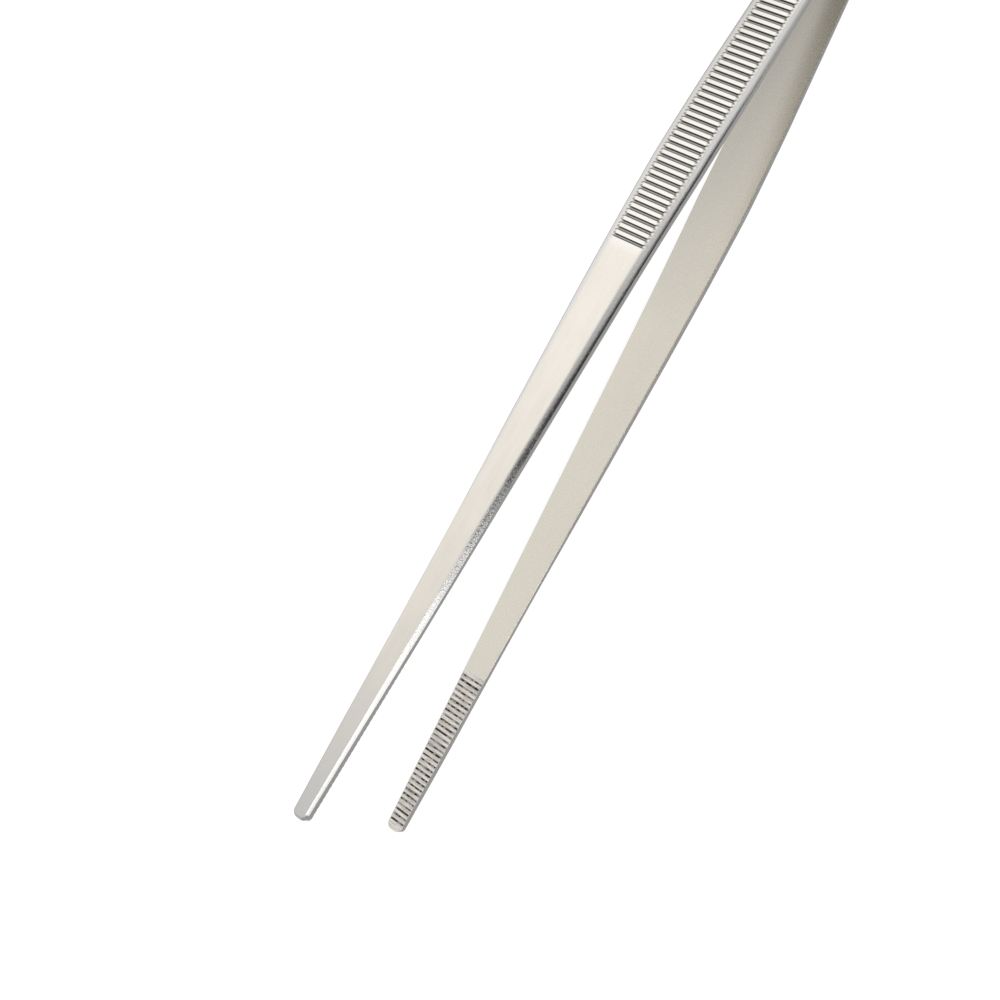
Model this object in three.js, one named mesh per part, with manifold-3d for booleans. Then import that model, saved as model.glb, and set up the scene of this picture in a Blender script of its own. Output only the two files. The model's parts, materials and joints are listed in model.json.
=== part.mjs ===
// Straight aquascaping tweezers: two identical stainless steel arms, resistance welded at the heel.
// Millimetres. They lie on their side: +X points from the heel to the tips, +Y to the left arm,
// +Z across the width of the arms. The origin is on the surface they lie on, halfway along.
import * as THREE from "three";
import { mergeVertices } from "three/addons/utils/BufferGeometryUtils.js";
import Module from "manifold-3d";

// Lengths along the tweezers, tip to heel
const JAW_LENGTH = 141; // tips to the middle of the bend
const SPRING_LENGTH = 107; // middle of the bend to the weld lap
const HEEL_LENGTH = 22; // weld lap, where the arms lie against each other
const BEND_SPAN = 48; // length over which an arm bends
const CROTCH_SPAN = 9; // length over which an arm turns parallel to the lap

// Gaps between the inner faces, arms at rest
const TIP_GAP = 34;
const BEND_GAP = 24.4;
const WELD_GAP = 0.3;

// Width of an arm
const TIP_WIDTH = 3.8;
const GRIP_WIDTH = 12;
const HEEL_WIDTH = 9;
const WIDE_LEAD = 8; // from the bend towards the heel: the arm reaches its full width
const WIDE_LENGTH = 20; // the stretch of full width
const TIP_FLAT = 1.1; // straight part of the tip's end, between its two rounded corners
const HEEL_CORNER_RADIUS = 3;

// Section of an arm: a flat inner face, straight side walls and shoulders that rise to a flat crown
const JAW_THICKNESS = 2.2;
const SPRING_THICKNESS = 1.3;
const JAW_WALL = 1.35;
const SPRING_WALL = 0.85;
const THINNING_LEAD = 12; // from the bend towards the heel: the arm starts to get thinner
const THINNING_LENGTH = 50;
const TIP_SHOULDER = 0.8; // inset of the crown at the tip
const GRIP_SHOULDER = 2.2; // inset of the crown where the arm is widest
const NOSE_LENGTH = 1.2; // the crown rounds down to the tip over this length

// Grip: grooves across the crown, as many as fit
const GRIP_LEAD = 10; // from the bend towards the tip: the first groove
const GRIP_MARGIN = 9; // plain crown between the last groove and the flex point
const GROOVE_PITCH = 1.525;
const GROOVE_WIDTH = 0.7;
const GROOVE_FLOOR = 0.4;
const GROOVE_DEPTH = 0.35;
const GROOVE_MARGIN = 1.7; // from the end of a groove to the edge of the arm

// Serrations across the inner face at the tip
const TOOTH_COUNT = 30;
const TOOTH_PITCH = 1.195;
const FIRST_TOOTH = 2.1; // from the tips
const TOOTH_WIDTH = 0.46;
const TOOTH_DEPTH = 0.35;

// Spring: each arm flexes near the heel
const FLEX_DISTANCE = 28.5; // from the weld lap to the point about which the arm flexes
const FLEX_GAP = 0.3; // between the two solids of an arm

// Spot welds in the lap
const WELD_NAMES = ["rear_spot_weld", "front_spot_weld"];
const WELD_DIAMETER = 4.4;
const WELD_END_MARGIN = 4.6; // from the heel end to the middle of the rear weld
const WELD_CROTCH_MARGIN = 4; // from the end of the crotch to the middle of the front weld

const TIP_CORNER_RADIUS = (TIP_WIDTH - TIP_FLAT) / 2;
const HEEL_START = JAW_LENGTH + SPRING_LENGTH;
const OVERALL_LENGTH = HEEL_START + HEEL_LENGTH;
const FLEX_POINT = HEEL_START - FLEX_DISTANCE;
const WIDE_START = JAW_LENGTH + WIDE_LEAD;
const WIDE_END = WIDE_START + WIDE_LENGTH;
const THINNING_START = JAW_LENGTH + THINNING_LEAD;
const THINNING_END = THINNING_START + THINNING_LENGTH;
const GRIP_START = JAW_LENGTH - GRIP_LEAD;
const GROOVE_COUNT = Math.floor((FLEX_POINT - GRIP_MARGIN - GRIP_START) / GROOVE_PITCH) + 1;
const CUT_PROUD = 1; // how far a cutter stands out of the face it cuts
const SHOULDER_STEPS = 4;
const ROUND_STEPS = 5;
const BEND_STEPS = 8;

const STEEL_COLOUR = 0xe4ddd2;
const WELD_COLOUR = 0xa9a49c;

const manifold = await Module();
manifold.setup();

const { lerp, clamp } = THREE.MathUtils;

// A value that runs straight from one end to the other and stays level outside.
function ramp(x, x0, x1, v0, v1) {
  return lerp(v0, v1, clamp((x - x0) / (x1 - x0), 0, 1));
}

// Half of the gap between the inner faces, as three straight stretches and two smooth bends.
function halfGap(s) {
  const stretches = [
    { start: 0, end: JAW_LENGTH, from: TIP_GAP / 2, to: BEND_GAP / 2, span: BEND_SPAN },
    { start: JAW_LENGTH, end: HEEL_START, from: BEND_GAP / 2, to: WELD_GAP / 2, span: CROTCH_SPAN },
    { start: HEEL_START, end: OVERALL_LENGTH, from: WELD_GAP / 2, to: WELD_GAP / 2, span: 0 },
  ].map((leg) => ({ ...leg, slope: (leg.to - leg.from) / (leg.end - leg.start) }));
  let gap = stretches[0].from + stretches[0].slope * s;
  for (let i = 1; i < stretches.length; i++) {
    const span = stretches[i - 1].span;
    const into = clamp(s - stretches[i].start + span / 2, 0, span);
    const turn = stretches[i].slope - stretches[i - 1].slope;
    gap += (turn * into * into) / (2 * span);
    gap += turn * Math.max(0, s - stretches[i].start - span / 2);
  }
  return gap;
}

// The outward direction of an arm at s, as parts along +s and away from the other arm.
function outward(s) {
  const step = 0.01;
  const slope = (halfGap(s + step) - halfGap(s - step)) / (2 * step);
  const length = Math.hypot(slope, 1);
  return { s: -slope / length, y: 1 / length };
}

// How much a rounded corner of the plan takes off the half width, at a distance from the end.
function cornerInset(distance, radius) {
  const inside = clamp(radius - distance, 0, radius);
  return radius - Math.sqrt(radius * radius - inside * inside);
}

function bodyWidth(s) {
  if (s < WIDE_START) return ramp(s, 0, WIDE_START, TIP_WIDTH, GRIP_WIDTH);
  return ramp(s, WIDE_END, HEEL_START, GRIP_WIDTH, HEEL_WIDTH);
}

function armWidth(s) {
  const tip = cornerInset(s, TIP_CORNER_RADIUS);
  const heel = cornerInset(OVERALL_LENGTH - s, HEEL_CORNER_RADIUS);
  return bodyWidth(s) - 2 * tip - 2 * heel;
}

function sideWall(s) {
  return ramp(s, THINNING_START, THINNING_END, JAW_WALL, SPRING_WALL);
}

function crown(s) {
  const full = ramp(s, THINNING_START, THINNING_END, JAW_THICKNESS, SPRING_THICKNESS);
  const nose = 1 - clamp(s / NOSE_LENGTH, 0, 1);
  return lerp(full, sideWall(s), 0.9 * nose * nose);
}

function shoulderInset(s) {
  const inset = ramp(bodyWidth(s), TIP_WIDTH, GRIP_WIDTH, TIP_SHOULDER, GRIP_SHOULDER);
  return Math.min(inset, 0.42 * armWidth(s));
}

// The section at s, as points (thickness, width) in order round the outline.
function section(s) {
  const half = armWidth(s) / 2;
  const wall = sideWall(s);
  const top = crown(s);
  const inset = shoulderInset(s);
  const side = [];
  for (let i = 0; i <= SHOULDER_STEPS; i++) {
    const across = i / SHOULDER_STEPS;
    const rise = 1 - (1 - across) * (1 - across);
    side.push([wall + (top - wall) * rise, half - inset * across]);
  }
  const right = [[0, half], ...side];
  const left = right.map(([n, z]) => [n, -z]).reverse();
  return [...right, ...left];
}

// Every place along the arm where its outline starts, stops or turns.
function stations(from, to) {
  const places = [from, to, WIDE_START, WIDE_END, THINNING_START, THINNING_END, HEEL_START];
  for (let i = 0; i <= ROUND_STEPS; i++) {
    const share = 1 - Math.cos((i / ROUND_STEPS) * (Math.PI / 2));
    places.push(TIP_CORNER_RADIUS * share, NOSE_LENGTH * share);
    places.push(OVERALL_LENGTH - HEEL_CORNER_RADIUS * share);
  }
  for (let i = 0; i <= BEND_STEPS; i++) {
    const share = i / BEND_STEPS - 0.5;
    places.push(JAW_LENGTH + BEND_SPAN * share, HEEL_START + CROTCH_SPAN * share);
  }
  const inside = places.filter((s) => s >= from && s <= to).sort((a, b) => a - b);
  return inside.filter((s, i) => i === 0 || s - inside[i - 1] > 0.02);
}

function pointOnArm(s, thickness, width) {
  const out = outward(s);
  return [OVERALL_LENGTH / 2 - s - thickness * out.s, halfGap(s) + thickness * out.y, width];
}

// A length of the left arm as a closed mesh: the sections joined side to side, with flat ends.
function armStock(from, to) {
  const rings = stations(from, to).map((s) => section(s).map(([n, z]) => pointOnArm(s, n, z)));
  const count = rings[0].length;
  const index = [];
  for (let r = 0; r + 1 < rings.length; r++) {
    for (let i = 0; i < count; i++) {
      const a = r * count + i;
      const b = r * count + ((i + 1) % count);
      index.push(a, b, a + count, b, b + count, a + count);
    }
  }
  const last = (rings.length - 1) * count;
  for (let i = 1; i + 1 < count; i++) {
    index.push(0, i + 1, i);
    index.push(last, last + i, last + i + 1);
  }
  const geometry = new THREE.BufferGeometry();
  geometry.setAttribute("position", new THREE.Float32BufferAttribute(rings.flat(2), 3));
  geometry.setIndex(index);
  return geometry;
}

function toSolid(geometry) {
  const bare = geometry.clone();
  bare.deleteAttribute("normal");
  bare.deleteAttribute("uv");
  const merged = mergeVertices(bare, 1e-5);
  return new manifold.Manifold(
    new manifold.Mesh({
      numProp: 3,
      vertProperties: merged.attributes.position.array,
      triVerts: new Uint32Array(merged.index.array),
    }),
  );
}

function toGeometry(solid) {
  const mesh = solid.getMesh();
  const geometry = new THREE.BufferGeometry();
  geometry.setAttribute("position", new THREE.BufferAttribute(mesh.vertProperties, 3));
  geometry.setIndex(new THREE.BufferAttribute(mesh.triVerts, 1));
  return geometry.toNonIndexed();
}

// A prism across the arm: an outline of (along the arm, thickness) corners, centred at s.
function crossCutter(s, outline, length) {
  const shape = new THREE.Shape(outline.map(([along, n]) => new THREE.Vector2(along, n)));
  const geometry = new THREE.ExtrudeGeometry(shape, { depth: length, bevelEnabled: false });
  const [x, y] = pointOnArm(s, 0, 0);
  const out = outward(s);
  geometry.translate(0, 0, -length / 2);
  geometry.rotateZ(Math.atan2(out.s, out.y));
  geometry.translate(x, y, 0);
  return toSolid(geometry);
}

function gripGroove(s) {
  const top = crown(s);
  const floor = top - GROOVE_DEPTH;
  const mouth = GROOVE_WIDTH / 2;
  const bottom = GROOVE_FLOOR / 2;
  const outline = [
    [-bottom, floor],
    [bottom, floor],
    [mouth, top],
    [mouth, top + CUT_PROUD],
    [-mouth, top + CUT_PROUD],
    [-mouth, top],
  ];
  return crossCutter(s, outline, armWidth(s) - 2 * GROOVE_MARGIN);
}

function toothNotch(s) {
  const mouth = TOOTH_WIDTH / 2;
  const outline = [
    [mouth, 0],
    [0, TOOTH_DEPTH],
    [-mouth, 0],
    [-mouth, -CUT_PROUD],
    [mouth, -CUT_PROUD],
  ];
  return crossCutter(s, outline, armWidth(s) + 2 * CUT_PROUD);
}

function row(count, start, pitch, make) {
  return Array.from({ length: count }, (_, i) => make(start + i * pitch));
}

// The jaw and grip of an arm: everything from the tip to the point about which it flexes.
function armGeometry() {
  const cuts = [
    ...row(GROOVE_COUNT, GRIP_START, GROOVE_PITCH, gripGroove),
    ...row(TOOTH_COUNT, FIRST_TOOTH, TOOTH_PITCH, toothNotch),
  ];
  const stock = toSolid(armStock(0, FLEX_POINT - FLEX_GAP / 2));
  return toGeometry(cuts.reduce((left, cut) => left.subtract(cut), stock));
}

// The root of an arm: from the flex point over the crotch to the welded heel.
function heelGeometry() {
  return toGeometry(toSolid(armStock(FLEX_POINT + FLEX_GAP / 2, OVERALL_LENGTH)));
}

// A weld: the fused metal between the two inner faces.
function weldGeometry() {
  return new THREE.CylinderGeometry(WELD_DIAMETER / 2, WELD_DIAMETER / 2, WELD_GAP, 32);
}

function steel(color, roughness) {
  return new THREE.MeshStandardMaterial({ color, roughness, metalness: 1 });
}

function named(name, geometry, material) {
  const mesh = new THREE.Mesh(geometry, material);
  mesh.name = name;
  return mesh;
}

// One arm with its root. Both arms are the same stamping, the right one turned over.
function armGroup(side, turn) {
  const group = new THREE.Group();
  group.rotation.x = turn;
  group.add(named(`${side}_arm`, armGeometry(), steel(STEEL_COLOUR, 0.35)));
  group.add(named(`${side}_heel_leaf`, heelGeometry(), steel(STEEL_COLOUR, 0.35)));
  return group;
}

function weldGroup() {
  const group = new THREE.Group();
  const rear = WELD_END_MARGIN;
  const front = HEEL_LENGTH - CROTCH_SPAN / 2 - WELD_CROTCH_MARGIN;
  WELD_NAMES.forEach((name, i) => {
    const weld = named(name, weldGeometry(), steel(WELD_COLOUR, 0.6));
    const fromHeel = lerp(rear, front, i / (WELD_NAMES.length - 1));
    weld.position.x = fromHeel - OVERALL_LENGTH / 2;
    group.add(weld);
  });
  return group;
}

const tweezers = new THREE.Group();
tweezers.position.z = GRIP_WIDTH / 2;
tweezers.add(armGroup("left", 0), armGroup("right", Math.PI), weldGroup());

export default tweezers;
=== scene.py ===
"""Straight aquascaping tweezers, lying on their side on a white table.

Two equal steel arms are welded together at the heel. Each arm is pressed from one bar: a flat
matt inside face, ground edges, polished shoulders that rise to a satin crown, a grip of raised
ribs on the crown and fine serrations inside the tip. Arm sizes are in millimetres and are
measured from the tip; +X runs from the heel to the tips, +Y to the left arm, +Z across the arms.
"""

import json
import logging
import math
from dataclasses import dataclass, field
from enum import Enum

import bpy
import numpy as np
from mathutils import Matrix, Vector

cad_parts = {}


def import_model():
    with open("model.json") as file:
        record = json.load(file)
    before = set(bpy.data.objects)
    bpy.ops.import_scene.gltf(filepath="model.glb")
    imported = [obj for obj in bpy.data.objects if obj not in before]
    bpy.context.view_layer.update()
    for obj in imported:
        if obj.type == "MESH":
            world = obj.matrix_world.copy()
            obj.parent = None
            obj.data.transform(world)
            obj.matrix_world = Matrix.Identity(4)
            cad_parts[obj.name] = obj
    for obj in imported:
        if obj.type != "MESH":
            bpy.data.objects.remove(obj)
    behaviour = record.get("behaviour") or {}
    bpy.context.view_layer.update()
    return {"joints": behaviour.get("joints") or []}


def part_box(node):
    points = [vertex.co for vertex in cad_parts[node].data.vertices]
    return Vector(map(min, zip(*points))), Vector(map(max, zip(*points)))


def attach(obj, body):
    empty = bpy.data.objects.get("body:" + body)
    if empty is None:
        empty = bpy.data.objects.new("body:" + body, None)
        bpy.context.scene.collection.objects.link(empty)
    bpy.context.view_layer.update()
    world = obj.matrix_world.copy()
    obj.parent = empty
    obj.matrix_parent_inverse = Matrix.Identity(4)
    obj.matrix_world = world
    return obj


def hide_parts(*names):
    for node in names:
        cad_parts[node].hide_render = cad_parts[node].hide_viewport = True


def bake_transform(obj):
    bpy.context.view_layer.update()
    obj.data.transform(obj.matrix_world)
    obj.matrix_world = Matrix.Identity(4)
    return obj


LOG = logging.getLogger("tweezers")
MM = 0.001
NOISE_SPAN = (0.3, 0.7)

Triple = tuple[float, float, float]
Colour = Triple
Span = tuple[float, float]
Socket = bpy.types.NodeSocket


class Side(Enum):
    """The two arms, and the end of the Y axis that each is on."""

    LEFT = 1
    RIGHT = -1

    @property
    def label(self) -> str:
        """The side's name as the piece names spell it."""
        return self.name.lower()


class Skin(Enum):
    """The surfaces of an arm; the value is the material index on its mesh."""

    OUTSIDE = 0
    EDGE = 1
    INSIDE = 2
    TEETH = 3


class Operation(Enum):
    """Ways of putting two numbers together; the value is the Math node's name for each."""

    ADD = "ADD"
    MULTIPLY = "MULTIPLY"
    LESSER = "MINIMUM"
    GREATER = "MAXIMUM"
    ANGLE = "ARCTAN2"


def smoothstep(value: np.ndarray, low: float, high: float) -> np.ndarray:
    """Ease a value from 0 at one limit to 1 at the other.

    Args:
        value: The numbers to ease.
        low: Where the result leaves 0.
        high: Where the result reaches 1.

    Returns:
        Numbers from 0 to 1 with level ends.
    """
    share = np.clip((value - low) / (high - low), 0.0, 1.0)
    return share * share * (3.0 - 2.0 * share)


def quarter_round(distance: np.ndarray, radius: float) -> np.ndarray:
    """Give how far a rounded edge falls back from the sharp one.

    Args:
        distance: Distance from the sharp edge.
        radius: Radius of the rounding.

    Returns:
        The fall, which is the radius at the edge and 0 from one radius inwards.
    """
    inside = np.clip(radius - distance, 0.0, radius)
    return radius - np.sqrt(np.maximum(radius * radius - inside * inside, 0.0))


# ---------------------------------------------------------------------------------------------
# Working with Blender's own tools
# ---------------------------------------------------------------------------------------------


class Bench:
    """Short names for the operators that every piece is made with."""

    @staticmethod
    def clear_selection() -> None:
        """Leave edit mode and deselect every object."""
        if bpy.context.object and bpy.context.object.mode != "OBJECT":
            bpy.ops.object.mode_set(mode="OBJECT")
        bpy.ops.object.select_all(action="DESELECT")

    @staticmethod
    def activate(piece: bpy.types.Object) -> None:
        """Make one object the only selected and the active one.

        Args:
            piece: The object to work on.
        """
        Bench.clear_selection()
        piece.select_set(True)
        bpy.context.view_layer.objects.active = piece

    @staticmethod
    def fix_transform(piece: bpy.types.Object) -> None:
        """Move the object's place, turn and size into its mesh."""
        Bench.activate(piece)
        bpy.ops.object.transform_apply(location=True, rotation=True, scale=True)

    @staticmethod
    def points(piece: bpy.types.Object) -> np.ndarray:
        """Read the mesh's points.

        Args:
            piece: The object, in object mode.

        Returns:
            An array of one row of x, y, z for each vertex, in metres.
        """
        flat = np.empty(len(piece.data.vertices) * 3)
        piece.data.vertices.foreach_get("co", flat)
        return flat.reshape(-1, 3)

    @staticmethod
    def set_points(piece: bpy.types.Object, points: np.ndarray) -> None:
        """Write the mesh's points back, one row of x, y, z for each vertex, in metres."""
        piece.data.vertices.foreach_set("co", points.astype(np.float32).ravel())
        piece.data.update()

    @staticmethod
    def edge_ends(piece: bpy.types.Object) -> tuple[np.ndarray, np.ndarray]:
        """Read where every edge starts and ends.

        Args:
            piece: The object, in object mode.

        Returns:
            Two arrays of points, one row for each edge.
        """
        ends = np.empty(len(piece.data.edges) * 2, np.int32)
        piece.data.edges.foreach_get("vertices", ends)
        points = Bench.points(piece)
        return points[ends[0::2]], points[ends[1::2]]

    @staticmethod
    def cut_edges(piece: bpy.types.Object, chosen: np.ndarray, cuts: int) -> None:
        """Subdivide the chosen edges, which lie side by side as the rungs of a ladder.

        Args:
            piece: The object, in object mode.
            chosen: A flag for each edge.
            cuts: The number of cuts in each edge.
        """
        data = piece.data
        data.polygons.foreach_set("select", np.zeros(len(data.polygons), bool))
        data.vertices.foreach_set("select", np.zeros(len(data.vertices), bool))
        data.edges.foreach_set("select", chosen)
        bpy.ops.object.mode_set(mode="EDIT")
        bpy.ops.mesh.select_mode(type="EDGE")
        bpy.ops.mesh.subdivide(number_cuts=cuts, smoothness=0.0)
        bpy.ops.object.mode_set(mode="OBJECT")

    @staticmethod
    def close_and_turn_out(piece: bpy.types.Object) -> None:
        """Close the open ends, and turn every face outwards.

        Args:
            piece: The object to close.
        """
        Bench.activate(piece)
        bpy.ops.object.mode_set(mode="EDIT")
        bpy.ops.mesh.select_all(action="SELECT")
        bpy.ops.mesh.fill_holes(sides=0)
        bpy.ops.mesh.select_all(action="SELECT")
        bpy.ops.mesh.normals_make_consistent(inside=False)
        bpy.ops.object.mode_set(mode="OBJECT")

    @staticmethod
    def shade(piece: bpy.types.Object, degrees: float) -> None:
        """Shade smooth, with creases sharper than an angle left crisp."""
        Bench.activate(piece)
        bpy.ops.object.shade_smooth_by_angle(angle=math.radians(degrees))

    @staticmethod
    def copy(piece: bpy.types.Object, name: str) -> bpy.types.Object:
        """Duplicate a piece with a mesh of its own.

        Args:
            piece: The piece to copy.
            name: The name of the copy and of its mesh.

        Returns:
            The copy.
        """
        Bench.activate(piece)
        bpy.ops.object.duplicate(linked=False)
        made = bpy.context.object
        made.name = name
        made.data.name = name
        return made

    @staticmethod
    def store(piece: bpy.types.Object, name: str, values: np.ndarray) -> None:
        """Keep a number for each vertex, which the finishes read by its name."""
        layer = piece.data.attributes.new(name, "FLOAT", "POINT")
        layer.data.foreach_set("value", values.astype(np.float32))


# ---------------------------------------------------------------------------------------------
# Finishes
# ---------------------------------------------------------------------------------------------


class Nodes:
    """A node tree under construction, with the helpers that the finishes and the room share."""

    def __init__(self, tree: bpy.types.NodeTree) -> None:
        """Start with an empty tree."""
        self.tree = tree
        tree.nodes.clear()

    def link(self, source: Socket, target: Socket) -> None:
        """Join two sockets."""
        self.tree.links.new(source, target)

    def axes(self, place: Socket) -> tuple[Socket, Socket, Socket]:
        """Split a place or a direction into its parts.

        Args:
            place: The place or direction.

        Returns:
            The parts along X, Y and Z.
        """
        node = self.tree.nodes.new("ShaderNodeSeparateXYZ")
        self.link(place, node.inputs["Vector"])
        return node.outputs["X"], node.outputs["Y"], node.outputs["Z"]

    def combine(self, operation: Operation, first: Socket, second: Socket | float) -> Socket:
        """Put two numbers together.

        Args:
            operation: What to do with them.
            first: The first number.
            second: The second number, or a constant.

        Returns:
            The result.
        """
        node = self.tree.nodes.new("ShaderNodeMath")
        node.operation = operation.value
        self.link(first, node.inputs[0])
        if isinstance(second, float):
            node.inputs[1].default_value = second
        else:
            self.link(second, node.inputs[1])
        return node.outputs[0]

    def plus(self, first: Socket, second: Socket | float) -> Socket:
        """Add two numbers."""
        return self.combine(Operation.ADD, first, second)

    def times(self, first: Socket, second: Socket | float) -> Socket:
        """Multiply two numbers."""
        return self.combine(Operation.MULTIPLY, first, second)

    def remap(self, value: Socket, source: Span, target: Span, smooth: bool = False) -> Socket:
        """Carry a value from one range to another, held at both ends.

        Args:
            value: The value.
            source: The range it comes from.
            target: The range it goes to.
            smooth: Whether it eases in and out, or runs straight.

        Returns:
            The value in the new range.
        """
        node = self.tree.nodes.new("ShaderNodeMapRange")
        node.interpolation_type = "SMOOTHSTEP" if smooth else "LINEAR"
        node.inputs["From Min"].default_value = source[0]
        node.inputs["From Max"].default_value = source[1]
        node.inputs["To Min"].default_value = target[0]
        node.inputs["To Max"].default_value = target[1]
        self.link(value, node.inputs["Value"])
        return node.outputs["Result"]


class Shader(Nodes):
    """The nodes of a material, which is metal unless its finish says otherwise."""

    def __init__(self, name: str) -> None:
        """Start with bare metal.

        Args:
            name: The material's name.
        """
        self.material = bpy.data.materials.new(name)
        self.material.use_nodes = True
        super().__init__(self.material.node_tree)
        self.body = self.tree.nodes.new("ShaderNodeBsdfPrincipled")
        self.body.inputs["Metallic"].default_value = 1.0
        output = self.tree.nodes.new("ShaderNodeOutputMaterial")
        self.link(self.body.outputs["BSDF"], output.inputs["Surface"])
        self.place = self.tree.nodes.new("ShaderNodeTexCoord").outputs["Object"]

    def noise(self, cells: Triple, detail: float = 3.0, rough: float = 0.55) -> Socket:
        """Add a noise whose cells have a given size along each axis.

        Args:
            cells: The size of a cell along X, Y and Z, in millimetres.
            detail: Octaves of finer noise.
            rough: Strength of the finer octaves.

        Returns:
            The noise, which mostly stays within NOISE_SPAN.
        """
        mapping = self.tree.nodes.new("ShaderNodeMapping")
        mapping.inputs["Scale"].default_value = [1.0 / (c * MM) for c in cells]
        self.link(self.place, mapping.inputs["Vector"])
        node = self.tree.nodes.new("ShaderNodeTexNoise")
        node.inputs["Scale"].default_value = 1.0
        node.inputs["Detail"].default_value = detail
        node.inputs["Roughness"].default_value = rough
        self.link(mapping.outputs["Vector"], node.inputs["Vector"])
        return node.outputs["Fac"]

    def spread(self, noise: Socket, target: Span) -> Socket:
        """Carry a noise from the span that it mostly fills to another range."""
        return self.remap(noise, NOISE_SPAN, target)

    def attribute(self, name: str) -> Socket:
        """Read one of the numbers stored on the mesh.

        Args:
            name: The attribute's name.

        Returns:
            The number.
        """
        node = self.tree.nodes.new("ShaderNodeAttribute")
        node.attribute_name = name
        return node.outputs["Fac"]

    def fade(self, value: Socket, source: Span, target: Span) -> Socket:
        """Carry a place in millimetres to another range, as remap does."""
        return self.remap(value, (source[0] * MM, source[1] * MM), target)

    def blend(self, factor: Socket, first: Socket | Colour, second: Socket | Colour) -> Socket:
        """Mix two colours.

        Args:
            factor: The share of the second.
            first: A colour, or the socket of one.
            second: A colour, or the socket of one.

        Returns:
            The mixed colour.
        """
        node = self.tree.nodes.new("ShaderNodeMix")
        node.data_type = "RGBA"
        self.link(factor, node.inputs["Factor"])
        for name, value in (("A", first), ("B", second)):
            socket = next(s for s in node.inputs if s.name == name and s.type == "RGBA")
            if isinstance(value, tuple):
                socket.default_value = (*value, 1.0)
            else:
                self.link(value, socket)
        return next(s for s in node.outputs if s.type == "RGBA")

    def bump(self, height: Socket, depth: float, below: Socket | None = None) -> Socket:
        """Turn a height into a disturbed normal.

        Args:
            height: The height, from 0 to 1.
            depth: The height of 1, in millimetres.
            below: A normal to add this one to.

        Returns:
            The normal.
        """
        node = self.tree.nodes.new("ShaderNodeBump")
        node.inputs["Strength"].default_value = 1.0
        node.inputs["Distance"].default_value = depth * MM
        self.link(height, node.inputs["Height"])
        if below is not None:
            self.link(below, node.inputs["Normal"])
        return node.outputs["Normal"]

    def wear(self, colour: Socket, rough: Socket, normal: Socket) -> None:
        """Connect what the surface looks like to the shader.

        Args:
            colour: Its colour.
            rough: Its roughness.
            normal: Its disturbed normal.
        """
        self.link(colour, self.body.inputs["Base Color"])
        self.link(rough, self.body.inputs["Roughness"])
        self.link(normal, self.body.inputs["Normal"])


@dataclass(frozen=True)
class OutsideSteel:
    """The outside of an arm: a satin crown that turns into polished shoulders, and the ribs, with
    painted shade along the outline and in the grooves.
    """

    name: str = "outside_steel"
    light: Colour = (0.615, 0.58, 0.527)
    dark: Colour = (0.565, 0.534, 0.485)
    cool: Colour = (0.505, 0.498, 0.485)
    bright: Colour = (0.52, 0.516, 0.508)
    # Painted shade at the outline, for the shadow under the arm that the shoulders reflect.
    rim: Colour = (0.28, 0.278, 0.273)
    crest: Colour = (0.645, 0.627, 0.593)
    # Soot and painted shade on the floors of the grooves.
    soot_and_shade: Colour = (0.275, 0.262, 0.243)
    # Painted shade: the near-black of the lines along the rib sides.
    crevice_shade: Colour = (0.025, 0.023, 0.021)
    straw: Colour = (0.55, 0.43, 0.27)
    cool_tip: Span = (98.0, 134.0)
    satin: float = 0.30
    polished: float = 0.1
    recessed: float = 0.42
    grain_height: float = 0.0008
    wave_height: float = 0.012
    peel_height: float = 0.018
    nick_depth: float = 0.004

    def material(self) -> bpy.types.Material:
        """Build the node material.

        Returns:
            The material.
        """
        shader = Shader(self.name)
        streaks = shader.noise((26.0, 0.35, 0.22), detail=4.0, rough=0.6)
        clouds = shader.noise((9.0, 5.0, 2.4), detail=2.0)
        pits = shader.noise((0.5, 0.3, 0.16), detail=1.0)
        grain = shader.noise((3.0, 0.06, 0.05), detail=2.0, rough=0.7)
        waves = shader.noise((7.0, 1.6, 0.9), detail=1.0)
        names = ("polish", "recess", "flank_shade", "rim", "crest", "heat")
        polish, recess, flank_shade, rim, crest, heat = map(shader.attribute, names)
        peel = shader.times(shader.noise((0.4, 0.24, 0.24), detail=2.0), polish)

        tone = shader.plus(streaks, shader.times(clouds, 0.8))
        tone = shader.remap(tone, (0.65, 1.15), (0.0, 1.0))
        colour = shader.blend(tone, self.dark, self.light)
        x, _, _ = shader.axes(shader.place)
        near_tip = shader.fade(x, self.cool_tip, (0.0, 1.0))
        colour = shader.blend(near_tip, colour, self.cool)
        colour = shader.blend(polish, colour, self.bright)
        # Painted shade: darker towards the outline.
        colour = shader.blend(shader.times(rim, 0.9), colour, self.rim)
        colour = shader.blend(crest, colour, self.crest)
        # Painted shade with some soot: the groove floors darken, unevenly, towards the soot colour.
        grime_and_shade = shader.times(recess, shader.remap(pits, (0.3, 0.62), (1.0, 0.72)))
        colour = shader.blend(grime_and_shade, colour, self.soot_and_shade)
        # Painted shade: a dark line along the sides of every rib.
        colour = shader.blend(flank_shade, colour, self.crevice_shade)
        tint = shader.times(heat, shader.spread(clouds, (0.35, 0.8)))
        colour = shader.blend(tint, colour, self.straw)

        rough = shader.remap(polish, (0.0, 1.0), (self.satin, self.polished))
        rough = shader.plus(rough, shader.spread(streaks, (-0.035, 0.035)))
        rough = shader.plus(rough, shader.spread(clouds, (-0.02, 0.03)))
        rough = shader.plus(rough, shader.times(recess, self.recessed - self.satin))

        normal = shader.bump(grain, self.grain_height)
        normal = shader.bump(waves, self.wave_height, normal)
        normal = shader.bump(peel, self.peel_height, normal)
        nicks = shader.remap(pits, (0.66, 0.74), (0.0, 1.0))
        shader.wear(colour, rough, shader.bump(nicks, -self.nick_depth, normal))
        return shader.material


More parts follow.
